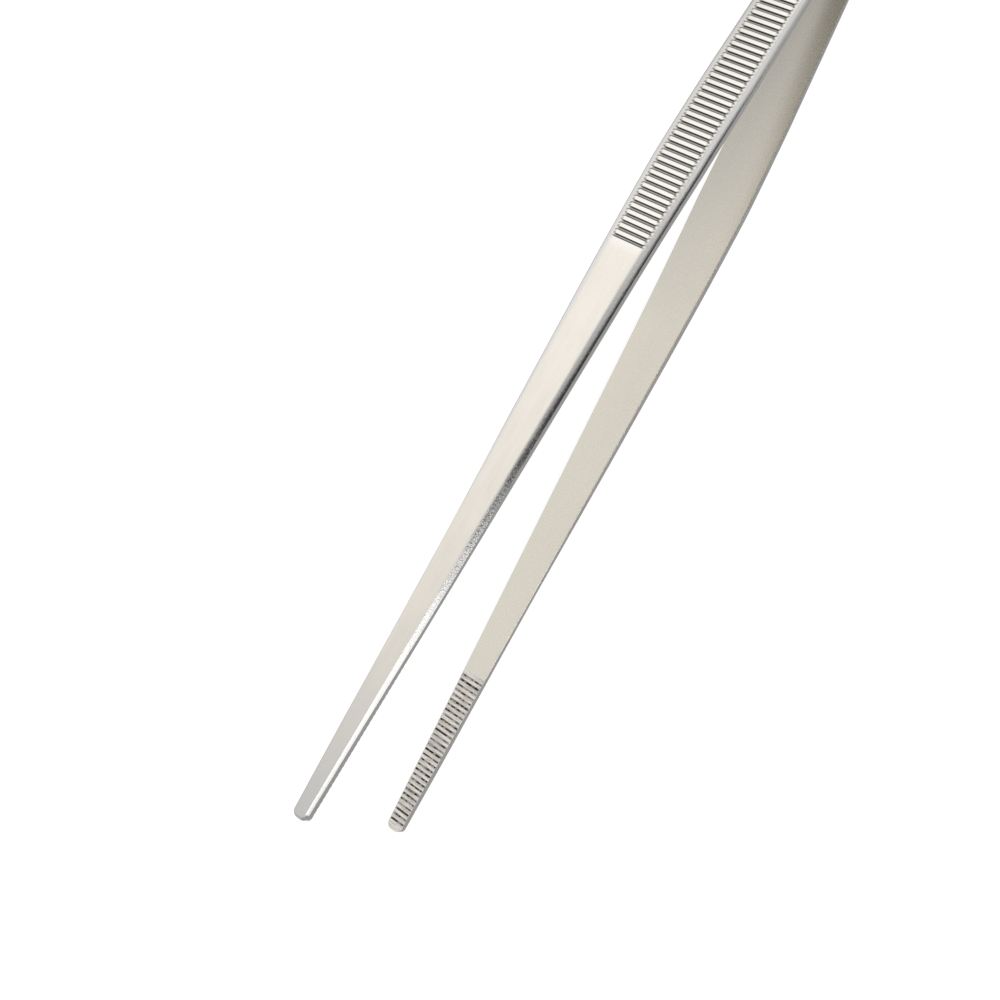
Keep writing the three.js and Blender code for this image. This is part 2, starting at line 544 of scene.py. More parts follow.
@dataclass(frozen=True)
class GroundEdge:
    """The edges of an arm, ground along their length after blanking."""

    name: str = "ground_edge"
    light: Colour = (0.70, 0.69, 0.67)
    dark: Colour = (0.59, 0.58, 0.56)
    rough: Span = (0.22, 0.38)
    line_height: float = 0.003
    wave_height: float = 0.01

    def material(self) -> bpy.types.Material:
        """Build the node material.

        Returns:
            The material.
        """
        shader = Shader(self.name)
        lines = shader.noise((18.0, 0.05, 0.4), detail=3.0, rough=0.65)
        patches = shader.noise((5.0, 1.2, 1.2), detail=3.0)
        tone = shader.plus(lines, shader.times(patches, 0.7))
        tone = shader.remap(tone, (0.6, 1.1), (0.0, 1.0))
        colour = shader.blend(tone, self.dark, self.light)
        normal = shader.bump(patches, self.wave_height, shader.bump(lines, self.line_height))
        shader.wear(colour, shader.spread(lines, self.rough), normal)
        return shader.material


@dataclass(frozen=True)
class MattSteel:
    """The inside of an arm: an even, fine matt surface, with painted shade that deepens towards the
    heel.
    """

    name: str = "matt_steel"
    light: Colour = (0.665, 0.627, 0.555)
    dark: Colour = (0.65, 0.612, 0.542)
    # Painted shade colour, for the gap where the arms close towards the heel.
    dull: Colour = (0.265, 0.26, 0.247)
    heel_shading: Span = (14.0, -60.0)
    heel_shading_height: Span = (3.0, 12.0)
    heel_shading_share: Span = (0.7, 0.1)
    rough: Span = (0.24, 0.30)
    blast_height: float = 0.0012

    def material(self) -> bpy.types.Material:
        """Build the node material.

        Returns:
            The material.
        """
        shader = Shader(self.name)
        blast = shader.noise((0.22, 0.22, 0.22), detail=3.0, rough=0.7)
        clouds = shader.noise((22.0, 6.0, 6.0), detail=2.0)
        tone = shader.plus(shader.times(blast, 0.4), clouds)
        tone = shader.remap(tone, (0.45, 0.95), (0.0, 1.0))
        x, _, z = shader.axes(shader.place)
        # Painted shade: darker towards the heel, and most near the table.
        heel_shaded = shader.times(
            shader.fade(x, self.heel_shading, (0.0, 1.0)),
            shader.fade(z, self.heel_shading_height, self.heel_shading_share),
        )
        colour = shader.blend(heel_shaded, shader.blend(tone, self.dark, self.light), self.dull)
        rough = shader.spread(blast, self.rough)
        shader.wear(colour, rough, shader.bump(blast, self.blast_height))
        return shader.material


@dataclass(frozen=True)
class MilledTeeth:
    """The serrated inside of a tip: bright lands with unevenly dark grooves between them, darkened by
    painted shade and patchy soot.
    """

    name: str = "milled_teeth"
    light: Colour = (0.74, 0.705, 0.655)
    dark: Colour = (0.42, 0.398, 0.365)
    shade: Colour = (0.33, 0.31, 0.285)
    soot_and_shade: Colour = (0.03, 0.026, 0.022)
    rough: Span = (0.26, 0.42)
    recess_rough: float = 0.25
    stroke_height: float = 0.016
    wave_height: float = 0.01

    def material(self) -> bpy.types.Material:
        """Build the node material.

        Returns:
            The material.
        """
        shader = Shader(self.name)
        strokes = shader.noise((0.26, 0.5, 2.8), detail=3.0, rough=0.6)
        patches = shader.noise((1.3, 1.0, 0.9), detail=2.0, rough=0.6)
        recess = shader.attribute("recess")
        tone = shader.remap(strokes, (0.36, 0.6), (0.0, 1.0))
        colour = shader.blend(tone, self.dark, self.light)
        colour = shader.blend(shader.remap(recess, (0.1, 0.75), (0.0, 0.8)), colour, self.shade)
        # Patchy soot and painted shade in the grooves between the teeth.
        grime_and_shade = shader.times(
            shader.remap(recess, (0.4, 0.66), (0.0, 1.0)),
            shader.remap(patches, (0.44, 0.53), (0.1, 1.0)),
        )
        colour = shader.blend(grime_and_shade, colour, self.soot_and_shade)
        rough = shader.spread(strokes, self.rough)
        rough = shader.plus(rough, shader.times(recess, self.recess_rough))
        milled = shader.bump(strokes, self.stroke_height)
        shader.wear(colour, rough, shader.bump(patches, self.wave_height, milled))
        return shader.material


@dataclass(frozen=True)
class WeldMetal:
    """The fused metal of a spot weld: dull, with straw and blue heat colours."""

    name: str = "weld_metal"
    bare: Colour = (0.50, 0.47, 0.43)
    straw: Colour = (0.46, 0.35, 0.22)
    blue: Colour = (0.25, 0.29, 0.38)
    rough: Span = (0.45, 0.7)
    grit_height: float = 0.05

    def material(self) -> bpy.types.Material:
        """Build the node material.

        Returns:
            The material.
        """
        shader = Shader(self.name)
        grit = shader.noise((0.35, 0.35, 0.35), detail=4.0, rough=0.65)
        patches = shader.noise((1.3, 1.3, 1.3), detail=2.0)
        colour = shader.blend(shader.remap(patches, (0.35, 0.55), (0.0, 1.0)), self.bare, self.straw)
        colour = shader.blend(shader.remap(patches, (0.56, 0.7), (0.0, 0.8)), colour, self.blue)
        rough = shader.spread(grit, self.rough)
        shader.wear(colour, rough, shader.bump(grit, self.grit_height))
        return shader.material


@dataclass(frozen=True)
class TableTop:
    """The white table: a sheet lit from below, brighter beside the right arm's grip."""

    name: str = "table_top"
    colour: Colour = (0.30, 0.30, 0.30)
    glow: float = 0.84
    pool: float = 0.47
    pool_length: Span = (140.0, 20.0)
    pool_front: Span = (-110.0, -60.0)
    pool_back: Span = (-4.0, -20.0)

    def material(self) -> bpy.types.Material:
        """Build the node material.

        Returns:
            The material.
        """
        shader = Shader(self.name)
        shader.body.inputs["Metallic"].default_value = 0.0
        shader.body.inputs["Base Color"].default_value = (*self.colour, 1.0)
        shader.body.inputs["Roughness"].default_value = 0.9
        shader.body.inputs["Specular IOR Level"].default_value = 0.0
        shader.body.inputs["Emission Color"].default_value = (1.0, 1.0, 1.0, 1.0)
        x, y, _ = shader.axes(shader.place)
        pool = shader.fade(x, self.pool_length, (0.0, self.pool))
        pool = shader.times(pool, shader.fade(y, self.pool_front, (0.0, 1.0)))
        pool = shader.times(pool, shader.fade(y, self.pool_back, (0.0, 1.0)))
        shader.link(shader.plus(pool, self.glow), shader.body.inputs["Emission Strength"])
        return shader.material


# ---------------------------------------------------------------------------------------------
# The arms
# ---------------------------------------------------------------------------------------------


@dataclass(frozen=True)
class ArmForm:
    """The pressed form of an arm. Lengths run from the tip, and a gap is between inner faces."""

    jaw: float = 141.0
    spring: float = 107.0
    heel: float = 22.0
    bend_span: float = 48.0
    crotch_span: float = 9.0
    tip_gap: float = 34.0
    bend_gap: float = 24.4
    weld_gap: float = 0.3
    tip_width: float = 3.8
    grip_width: float = 12.0
    heel_width: float = 9.0
    wide: Span = (149.0, 169.0)
    tip_flat: float = 1.1
    heel_corner: float = 3.0
    thinning: Span = (153.0, 203.0)
    thickness: Span = (2.2, 1.3)
    wall: tuple[Span, ...] = (
        (0.0, 1.6), (22.0, 1.52), (45.0, 1.1), (60.0, 0.98), (90.0, 1.3), (153.0, 1.3), (203.0, 0.82),
    )
    shoulder: tuple[Span, ...] = ((1.9, 0.7), (3.3, 1.05), (4.1, 1.5), (5.3, 2.1), (6.0, 2.2))
    shoulder_most: float = 0.84
    inner_edge: float = 0.12

    @property
    def overall(self) -> float:
        """The length of an arm, from the tip to the end of the heel."""
        return self.jaw + self.spring + self.heel

    @property
    def lap(self) -> float:
        """Where the arms come together."""
        return self.jaw + self.spring

    @property
    def tip_corner(self) -> float:
        """The radius of the two corners of the tip."""
        return (self.tip_width - self.tip_flat) / 2

    def path(self, s: np.ndarray) -> tuple[np.ndarray, np.ndarray]:
        """Follow the inner face, in three straight stretches with smooth bends between them.

        Args:
            s: Distances from the tip.

        Returns:
            Half of the gap between the arms, and its slope.
        """
        gaps = (self.tip_gap / 2, self.bend_gap / 2, self.weld_gap / 2, self.weld_gap / 2)
        places = (0.0, self.jaw, self.lap, self.overall)
        slopes = np.diff(gaps) / np.diff(places)
        gap = gaps[0] + slopes[0] * s
        slope = np.full_like(s, slopes[0])
        bends = ((self.jaw, self.bend_span), (self.lap, self.crotch_span))
        for (middle, span), turn in zip(bends, np.diff(slopes)):
            into = np.clip(s - middle + span / 2, 0.0, span)
            gap += turn * into * into / (2 * span)
            gap += turn * np.maximum(0.0, s - middle - span / 2)
            slope += turn * into / span
        return gap, slope

    def body_half(self, s: np.ndarray) -> np.ndarray:
        """Give half of the width, before the ends are rounded.

        Args:
            s: Distances from the tip.

        Returns:
            Half widths.
        """
        places = (0.0, *self.wide, self.lap)
        widths = (self.tip_width, self.grip_width, self.grip_width, self.heel_width)
        return np.interp(s, places, widths) / 2

    def half_width(self, s: np.ndarray) -> np.ndarray:
        """Give half of the width, with the corners of both ends rounded.

        Args:
            s: Distances from the tip.

        Returns:
            Half widths.
        """
        tip = quarter_round(s, self.tip_corner)
        heel = quarter_round(self.overall - s, self.heel_corner)
        return self.body_half(s) - tip - heel

    def edge_distance(self, s: np.ndarray, z: np.ndarray) -> np.ndarray:
        """Measure how far a place on the arm is from its outline, seen square to the face.

        Args:
            s: Distances from the tip.
            z: Distances from the arm's middle line.

        Returns:
            Distances inwards from the outline.
        """
        across = np.abs(z)
        inward = self.body_half(s) - across
        ends = (
            (s, self.tip_corner, self.tip_flat / 2),
            (self.overall - s, self.heel_corner, self.heel_width / 2 - self.heel_corner),
        )
        for from_end, radius, flat in ends:
            corner = radius - np.hypot(np.maximum(radius - from_end, 0.0), across - flat)
            end = np.where(across > flat, corner, from_end)
            inward = np.minimum(inward, np.where(from_end < radius, end, inward))
        return np.maximum(inward, 0.0)

    def shoulder_width(self, s: np.ndarray) -> np.ndarray:
        """Give the width of a shoulder, which grows with the arm.

        Args:
            s: Distances from the tip.

        Returns:
            Widths of one shoulder.
        """
        grown = np.interp(self.body_half(s), *zip(*self.shoulder))
        return np.minimum(grown, self.shoulder_most * self.half_width(s))

    def outer_height(self, s: np.ndarray, inward: np.ndarray) -> tuple[np.ndarray, np.ndarray]:
        """Give the height of the outside over the inner face.

        Args:
            s: Distances from the tip.
            inward: Distances from the outline.

        Returns:
            The height, and how far up the shoulder the place is, from 0 to 1.
        """
        wall = np.interp(s, *zip(*self.wall))
        top = np.interp(s, self.thinning, self.thickness)
        up = np.clip(inward / self.shoulder_width(s), 0.0, 1.0)
        return wall + (top - wall) * (1.0 - (1.0 - up) ** 2), up


@dataclass(frozen=True)
class Stretch:
    """A length of the blank that is cut into rows of its own spacing."""

    start: float
    end: float
    parts: int
    rows_each: int
    rows: np.ndarray

    @staticmethod
    def even(start: float, end: float, rows: int) -> "Stretch":
        """Make a stretch of evenly spaced rows."""
        return Stretch(start, end, 1, rows, np.linspace(start, end, rows + 1))

    @staticmethod
    def closing(start: float, end: float, rows: int, towards_start: bool) -> "Stretch":
        """Make a stretch whose rows crowd towards one end, as round a corner.

        Args:
            start: Where it starts.
            end: Where it ends.
            rows: The number of rows.
            towards_start: Whether they crowd at the start or at the end.

        Returns:
            The stretch.
        """
        share = 1.0 - np.cos(np.linspace(0.0, math.pi / 2, rows + 1))
        if not towards_start:
            share = 1.0 - share[::-1]
        return Stretch(start, end, 1, rows, start + (end - start) * share)


@dataclass(frozen=True)
class Grooves:
    """Evenly pitched grooves across an arm, with rows of the mesh along their sides."""

    first: float
    count: int
    pitch: float
    offsets: tuple[float, ...]

    @property
    def start(self) -> float:
        """Half a pitch before the first groove."""
        return self.first - self.pitch / 2

    @property
    def end(self) -> float:
        """Half a pitch after the last groove."""
        return self.start + self.count * self.pitch

    def stretch(self) -> Stretch:
        """Place the mesh's rows so that they follow the sides of every groove.

        Returns:
            The stretch of the blank that holds the grooves.
        """
        near = np.array(self.offsets)
        one = np.concatenate([[-self.pitch / 2], -near[:0:-1], near])
        middles = self.first + self.pitch * np.arange(self.count)
        rows = np.append((middles[:, None] + one[None, :]).ravel(), self.end)
        return Stretch(self.start, self.end, self.count, len(one), rows)


@dataclass(frozen=True)
class GripRibs(Grooves):
    """The grip: raised ribs with round ends, and the grooves pressed between them."""

    first: float = 131.0
    count: int = 53
    pitch: float = 1.525
    rib_width: float = 0.95
    wall: float = 0.24
    depth: float = 0.42
    margin: float = 1.6
    offsets: tuple[float, ...] = (0.0, 0.15, 0.22, 0.29, 0.36, 0.43)
    run_out: Span = (-0.1, 0.8)
    flank_rise: Span = (-0.12, 0.0)
    flank_fall: Span = (0.06, 0.2)
    flank_end: Span = (-0.25, 0.3)
    crest_end: Span = (-0.1, 0.5)

    def pressed(self, s: np.ndarray, from_edge: np.ndarray) -> tuple[np.ndarray, ...]:
        """Give the relief of the grip below the crown.

        Args:
            s: Distances from the tip.
            from_edge: Distances from the arm's edge, square to its middle line.

        Returns:
            The depth, the share of the full depth, how near a place is to a rib's side, which the
            outside paints as a line of shade, and whether it is on a rib's crest.
        """
        turn = (s - self.first) / self.pitch + 0.5
        along = (turn - np.floor(turn) - 0.5) * self.pitch
        beside = self.pitch / 2 - np.abs(along)
        inside = from_edge - self.margin
        half = self.rib_width / 2
        round_end = np.maximum(0.0, half - inside)
        clear = np.hypot(beside, round_end) - half
        plain = (turn < 0.5) | (turn > self.count - 0.5)
        clear = np.where(plain, beside - half, clear)
        ground = smoothstep(clear, -self.wall / 2, self.wall / 2)
        depth = smoothstep(inside, *self.run_out)
        outside_grip = (s < self.start) | (s > self.end)
        share = np.where(outside_grip, 0.0, ground * depth)
        # Mask of the painted shade along the sides of the ribs.
        flank_shade = smoothstep(clear, *self.flank_rise) * (1.0 - smoothstep(clear, *self.flank_fall))
        flank_shade *= smoothstep(inside, *self.flank_end)
        crest = (1.0 - ground) * smoothstep(inside, *self.crest_end)
        return (
            self.depth * share,
            share,
            np.where(outside_grip, 0.0, flank_shade),
            np.where(outside_grip, 0.0, crest),
        )


@dataclass(frozen=True)
class Serrations(Grooves):
    """The teeth inside a tip: narrow grooves across the arm, of which the last is faint."""

    first: float = 2.1
    count: int = 31
    pitch: float = 1.195
    mouth: float = 0.84
    depth: float = 0.3
    rim: float = 0.26
    rim_share: float = 0.45
    line_share: float = 0.16
    root: float = 0.02
    unevenness: float = 0.18
    offsets: tuple[float, ...] = (0.0, 0.12, 0.26, 0.42)

    def cut(self, s: np.ndarray, inward: np.ndarray) -> tuple[np.ndarray, np.ndarray]:
        """Give the depth of the grooves below the inner face.

        Args:
            s: Distances from the tip.
            inward: Distances from the arm's outline.

        Returns:
            The depth, and the share of the full depth.
        """
        turn = (s - self.first) / self.pitch + 0.5
        number = np.floor(turn)
        along = np.abs(turn - number - 0.5) * self.pitch
        share = 1.0 - smoothstep(along, self.root, self.mouth / 2)
        swing = np.sin(number * 2.3) * np.cos(number * 0.9)
        share *= 1.0 - self.unevenness * (1.0 - swing)
        at_rim = smoothstep(inward, self.root, self.rim)
        share *= self.rim_share + (1.0 - self.rim_share) * at_rim
        share = np.where(number >= self.count - 1, share * self.line_share, share)
        share = np.where((s >= self.start) & (s <= self.end), share, 0.0)
        return self.depth * share, share


@dataclass(frozen=True)
class WeldMarks:
    """The shallow round marks that the welding electrodes leave on the heel's crown."""

    places: tuple[float, ...] = (256.5, 265.4)
    radius: float = 2.1
    depth: float = 0.06
    slope: float = 0.45
    ring: float = 1.12
    halo: float = 1.38

    def pressed(self, s: np.ndarray, z: np.ndarray) -> tuple[np.ndarray, np.ndarray]:
        """Give the depth of the marks, and the heat colour round them.

        Args:
            s: Distances from the tip.
            z: Distances from the arm's middle line.

        Returns:
            The depth, and the strength of the heat colour from 0 to 1.
        """
        depth = np.zeros_like(s)
        heat = np.zeros_like(s)
        for place in self.places:
            away = np.hypot(s - place, z)
            depth += self.depth * (1.0 - smoothstep(away, self.radius - self.slope, self.radius))
            ring = 1.0 - smoothstep(np.abs(away - self.radius * self.ring), 0.0, self.halo)
            heat = np.maximum(heat, ring)
        return depth, heat


@dataclass
class Arm:
    """One arm, from the tip to the end of the heel, as a single pressed bar."""

    form: ArmForm = field(default_factory=ArmForm)
    ribs: GripRibs = field(default_factory=GripRibs)
    teeth: Serrations = field(default_factory=Serrations)
    marks: WeldMarks = field(default_factory=WeldMarks)
    blank_thickness: float = 2.2
    edge_steps: tuple[float, ...] = (0.0, 0.01, 0.03, 0.07)
    shoulder_steps: tuple[float, ...] = (0.06, 0.15, 0.27, 0.42, 0.6, 0.8, 1.0)
    grip_steps: tuple[float, ...] = (
        0.022, 0.045, 0.07, 0.095, 0.12, 0.145, 0.175, 0.22, 0.3, 0.42, 0.6, 0.8, 1.0,
    )
    inside_steps: tuple[float, ...] = (0.0, 0.035, 0.12, 0.26)
    inside_shares: tuple[float, ...] = (0.2, 0.45, 0.72, 1.0)
    wall_rows: int = 4
    end_rows: int = 14
    jaw_rows: int = 48
    spring_rows: int = 24
    crotch_rows: int = 14
    heel_rows: int = 56
    polish_rise: Span = (0.3, 1.0)
    rim_shade_reach: Span = (0.1, 0.8)
    crease_angle: float = 38.0

    @property
    def outside_columns(self) -> int:
        """Strips from one edge of the outside to the other."""
        return 2 * (len(self.edge_steps) - 1 + len(self.shoulder_steps) + len(self.grip_steps))

    @property
    def inside_columns(self) -> int:
        """Strips from one edge of the inside to the other."""
        return 2 * (len(self.inside_steps) - 1 + len(self.inside_shares))

    def stretches(self) -> list[Stretch]:
        """List the stretches of the blank.

        Returns:
            The stretches, from the tip to the heel.
        """
        form, ribs, teeth = self.form, self.ribs, self.teeth
        crotch = (form.lap - form.crotch_span / 2, form.lap + form.crotch_span / 2)
        corner = form.overall - form.heel_corner
        return [
            Stretch.closing(0.0, teeth.start, self.end_rows, towards_start=True),
            teeth.stretch(),
            Stretch.even(teeth.end, ribs.start, self.jaw_rows),
            ribs.stretch(),
            Stretch.even(ribs.end, crotch[0], self.spring_rows),
            Stretch.even(*crotch, self.crotch_rows),
            Stretch.even(crotch[1], corner, self.heel_rows),
            Stretch.closing(corner, form.overall, self.end_rows, towards_start=False),
        ]

    def blank(self) -> bpy.types.Object:
        """Cut the bar and divide it into rows and columns.

        Returns:
            A straight bar, open at both ends, with s running along -X from half the length.
        """
        form = self.form
        length, width = form.overall, form.grip_width
        Bench.clear_selection()
        middle = Vector((0.0, self.blank_thickness / 2, width / 2)) * MM
        bpy.ops.mesh.primitive_cube_add(size=1.0, location=middle)
        bar = bpy.context.object
        bar.scale = Vector((length, self.blank_thickness, width)) * MM
        Bench.fix_transform(bar)

        bpy.ops.object.mode_set(mode="EDIT")
        for stretch in self.stretches()[1:]:
            bpy.ops.mesh.select_all(action="SELECT")
            place = Vector((length / 2 - stretch.start, 0.0, 0.0)) * MM
            bpy.ops.mesh.bisect(plane_co=place, plane_no=(1.0, 0.0, 0.0))
        bpy.ops.object.mode_set(mode="OBJECT")
        self.open_ends(bar)

        for stretch in self.stretches():
            self.cut_rows(bar, stretch)
        thick = self.blank_thickness
        self.cut_columns(bar, self.outside_columns, axis=2, fixed=(1, thick))
        self.cut_columns(bar, self.inside_columns, axis=2, fixed=(1, 0.0))
        self.cut_columns(bar, self.wall_rows, axis=1, fixed=None)
        return bar

    def open_ends(self, bar: bpy.types.Object) -> None:
        """Take off the two end faces, which are closed again once the bar is divided.

        Args:
            bar: The bar.
        """
        reach = self.form.overall / 2 * MM
        for face in bar.data.polygons:
            face.select = abs(abs(face.center.x) - reach) < 1e-6
        bpy.ops.object.mode_set(mode="EDIT")
        bpy.ops.mesh.select_mode(type="FACE")
        bpy.ops.mesh.delete(type="ONLY_FACE")
        bpy.ops.object.mode_set(mode="OBJECT")

    def cut_rows(self, bar: bpy.types.Object, stretch: Stretch) -> None:
        """Divide one stretch of the bar along its length.

        Args:
            bar: The bar.
            stretch: The stretch.
        """
        for cuts in (stretch.parts - 1, stretch.rows_each - 1):
            if cuts < 1:
                continue
            first, last = Bench.edge_ends(bar)
            middle = self.form.overall / 2 - (first[:, 0] + last[:, 0]) / 2 / MM
            along = np.abs(first[:, 0] - last[:, 0]) > 1e-7
            chosen = along & (middle > stretch.start) & (middle < stretch.end)
            Bench.cut_edges(bar, chosen, cuts)

    def cut_columns(
        self, bar: bpy.types.Object, columns: int, axis: int, fixed: tuple[int, float] | None
    ) -> None:
        """Divide one kind of face of the bar across its width or thickness.

        Args:
            bar: The bar.
            columns: The number of strips.
            axis: The axis that the edges to cut run along.
            fixed: Another axis, and the place on it of the edges in millimetres.
        """
        first, last = Bench.edge_ends(bar)
        chosen = np.abs(first[:, axis] - last[:, axis]) > 1e-6
        if fixed is not None:
            chosen &= np.abs(first[:, fixed[0]] / MM - fixed[1]) < 1e-3
        Bench.cut_edges(bar, chosen, columns - 1)

    def row_places(self, blank_s: np.ndarray) -> np.ndarray:
        """Move evenly cut rows to where they belong in their stretch.

        Args:
            blank_s: Distances from the tip on the blank.

        Returns:
            Distances from the tip on the arm.
        """
        places = blank_s.copy()
        for stretch in self.stretches():
            inside = (blank_s >= stretch.start - 1e-4) & (blank_s <= stretch.end + 1e-4)
            count = len(stretch.rows) - 1
            share = (blank_s[inside] - stretch.start) / (stretch.end - stretch.start)
            number = np.clip(np.rint(share * count).astype(int), 0, count)
            places[inside] = stretch.rows[number]
        return places

    def outside_offsets(self, s: np.ndarray, column: np.ndarray) -> np.ndarray:
        """Give the distance of the outside's columns from the edge of the arm.

        Args:
            s: Distances from the tip.
            column: Column numbers, 0 at the edge.

        Returns:
            Distances from the edge.
        """
        form = self.form
        half = form.half_width(s)
        shoulder = form.shoulder_width(s)
        edge = np.array(self.edge_steps)
        rise = np.array(self.shoulder_steps)
        grip = np.array(self.grip_steps)
        plain = np.linspace(0.0, 1.0, len(grip) + 1)[1:]
        tight = np.minimum(1.0, shoulder / (2 * edge[-1]))
        count = len(edge) - 1
        at_edge = edge[np.clip(column, 0, count)] * tight
        up = rise[np.clip(column - count - 1, 0, len(rise) - 1)]
        at_rise = edge[-1] * tight + (shoulder - edge[-1] * tight) * up
        index = np.clip(column - count - len(rise) - 1, 0, len(grip) - 1)
        spread = smoothstep(s, self.ribs.end, form.lap)
        share = grip[index] * (1 - spread) + plain[index] * spread
        on_crown = shoulder + (half - shoulder) * share
        return np.where(
            column <= count, at_edge, np.where(column <= count + len(rise), at_rise, on_crown)
        )

    def inside_offsets(self, s: np.ndarray, column: np.ndarray) -> np.ndarray:
        """Give the distance of the inside's columns from the edge of the arm.

        Args:
            s: Distances from the tip.
            column: Column numbers, 0 at the edge.

        Returns:
            Distances from the edge.
        """
        half = self.form.half_width(s)
        steps = np.array(self.inside_steps)
        shares = np.array(self.inside_shares)
        count = len(steps) - 1
        near = steps[np.clip(column, 0, count)]
        share = shares[np.clip(column - count - 1, 0, len(shares) - 1)]
        return np.where(column <= count, near, steps[-1] + (half - steps[-1]) * share)

    def press(self, bar: bpy.types.Object) -> None:
        """Press the divided bar to its form, and store what the finishes need.

        Args:
            bar: The divided, straight bar.
        """
        form = self.form
        points = Bench.points(bar) / MM
        s = self.row_places(form.overall / 2 - points[:, 0])
        thick, width = self.blank_thickness, form.grip_width
        outside = np.abs(points[:, 1] - thick) < 1e-3
        inside = np.abs(points[:, 1]) < 1e-3
        side = np.sign(points[:, 2] - width / 2)
        from_edge = np.minimum(points[:, 2], width - points[:, 2]) / width

        column = np.rint(from_edge * self.outside_columns).astype(int)
        offset = np.where(outside, self.outside_offsets(s, column), 0.0)
        column = np.rint(from_edge * self.inside_columns).astype(int)
        offset = np.where(inside, self.inside_offsets(s, column), offset)
        half = form.half_width(s)
        z = side * np.maximum(half - offset, 0.0)
        inward = form.edge_distance(s, z)

        top, up = form.outer_height(s, inward)
        from_side = form.body_half(s) - np.abs(z)
        pressed, ribbed, flank_shade, crest = self.ribs.pressed(s, from_side)
        dimple, heat = self.marks.pressed(s, z)
        cut, toothed = self.teeth.cut(s, inward)
        outer = top - pressed - dimple
        inner = quarter_round(inward, form.inner_edge) + cut
        edge_top, _ = form.outer_height(s, np.zeros_like(s))
        edge_cut, _ = self.teeth.cut(s, np.zeros_like(s))
        low = form.inner_edge + edge_cut
        wall = low + (edge_top - low) * points[:, 1] / thick
        height = np.where(outside, outer, np.where(inside, inner, wall))

        gap, slope = form.path(s)
        long = np.hypot(slope, 1.0)
        placed = np.empty_like(points)
        placed[:, 0] = form.overall / 2 - s + height * slope / long
        placed[:, 1] = gap + height / long
        placed[:, 2] = width / 2 + z
        Bench.set_points(bar, placed * MM)

        Bench.store(bar, "polish", np.where(outside, 1.0 - smoothstep(up, *self.polish_rise), 1.0))
        # Strength of the painted shade along the outline.
        Bench.store(bar, "rim", np.where(outside, 1.0 - smoothstep(inward, *self.rim_shade_reach), 1.0))
        Bench.store(bar, "crest", np.where(outside, crest, 0.0))
        Bench.store(bar, "flank_shade", np.where(outside, flank_shade, 0.0))
        Bench.store(bar, "recess", np.where(outside, ribbed, np.where(inside, toothed, 0.0)))
        Bench.store(bar, "heat", np.where(outside, heat, 0.0))
        self.sort_skins(bar, outside, inside, s)

    def sort_skins(
        self, bar: bpy.types.Object, outside: np.ndarray, inside: np.ndarray, s: np.ndarray
    ) -> None:
        """Give every face the finish of the surface that it belongs to.

        Args:
            bar: The pressed arm.
            outside: A flag for each point of the outside.
            inside: A flag for each point of the inside.
            s: Distances from the tip of the points.
        """
        count = len(bar.data.polygons)
        corners = np.empty(count * 4, np.int32)
        bar.data.polygons.foreach_get("vertices", corners)
        corners = corners.reshape(-1, 4)
        middle = s[corners].mean(axis=1)
        skins = np.full(count, Skin.EDGE.value, np.int32)
        skins[outside[corners].all(axis=1)] = Skin.OUTSIDE.value
        within = inside[corners].all(axis=1)
        skins[within] = Skin.INSIDE.value
        serrated = self.teeth.end - self.teeth.pitch / 2
        skins[within & (middle < serrated)] = Skin.TEETH.value
        bar.data.polygons.foreach_set("material_index", skins)

    def build(self, finishes: dict[Skin, bpy.types.Material]) -> bpy.types.Object:
        """Make the left arm.

        Args:
            finishes: The material of each surface.

        Returns:
            The finished arm.
        """
        arm = self.blank()
        arm.name = arm.data.name = f"{Side.LEFT.label}_steel_arm"
        for skin in Skin:
            arm.data.materials.append(finishes[skin])
        self.press(arm)
        Bench.close_and_turn_out(arm)
        Bench.shade(arm, self.crease_angle)
        return arm

    def turned_over(self, arm: bpy.types.Object) -> bpy.types.Object:
        """Copy the left arm and turn it over to make the right one.

        Args:
            arm: The left arm.

        Returns:
            The right arm.
        """
        made = Bench.copy(arm, f"{Side.RIGHT.label}_steel_arm")
        middle = (0.0, 0.0, self.form.grip_width / 2 * MM)
        bpy.ops.transform.rotate(value=math.pi, orient_axis="X", center_override=middle)
        Bench.fix_transform(made)
        return made

    def join_frame(self, arm: bpy.types.Object, side: Side, flex: float, reach: float) -> None:
        """Let the arm stand for its two CAD pieces, which it hides, and move its place into its mesh.

        Args:
            arm: The finished arm.
            side: Which arm it is.
            flex: Where the arm flexes, from the tip.
            reach: Not used.
        """
        name = f"{side.label}_arm"
        gap, _ = self.form.path(np.array([flex]))
        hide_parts(name, f"{side.label}_heel_leaf")
        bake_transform(arm)


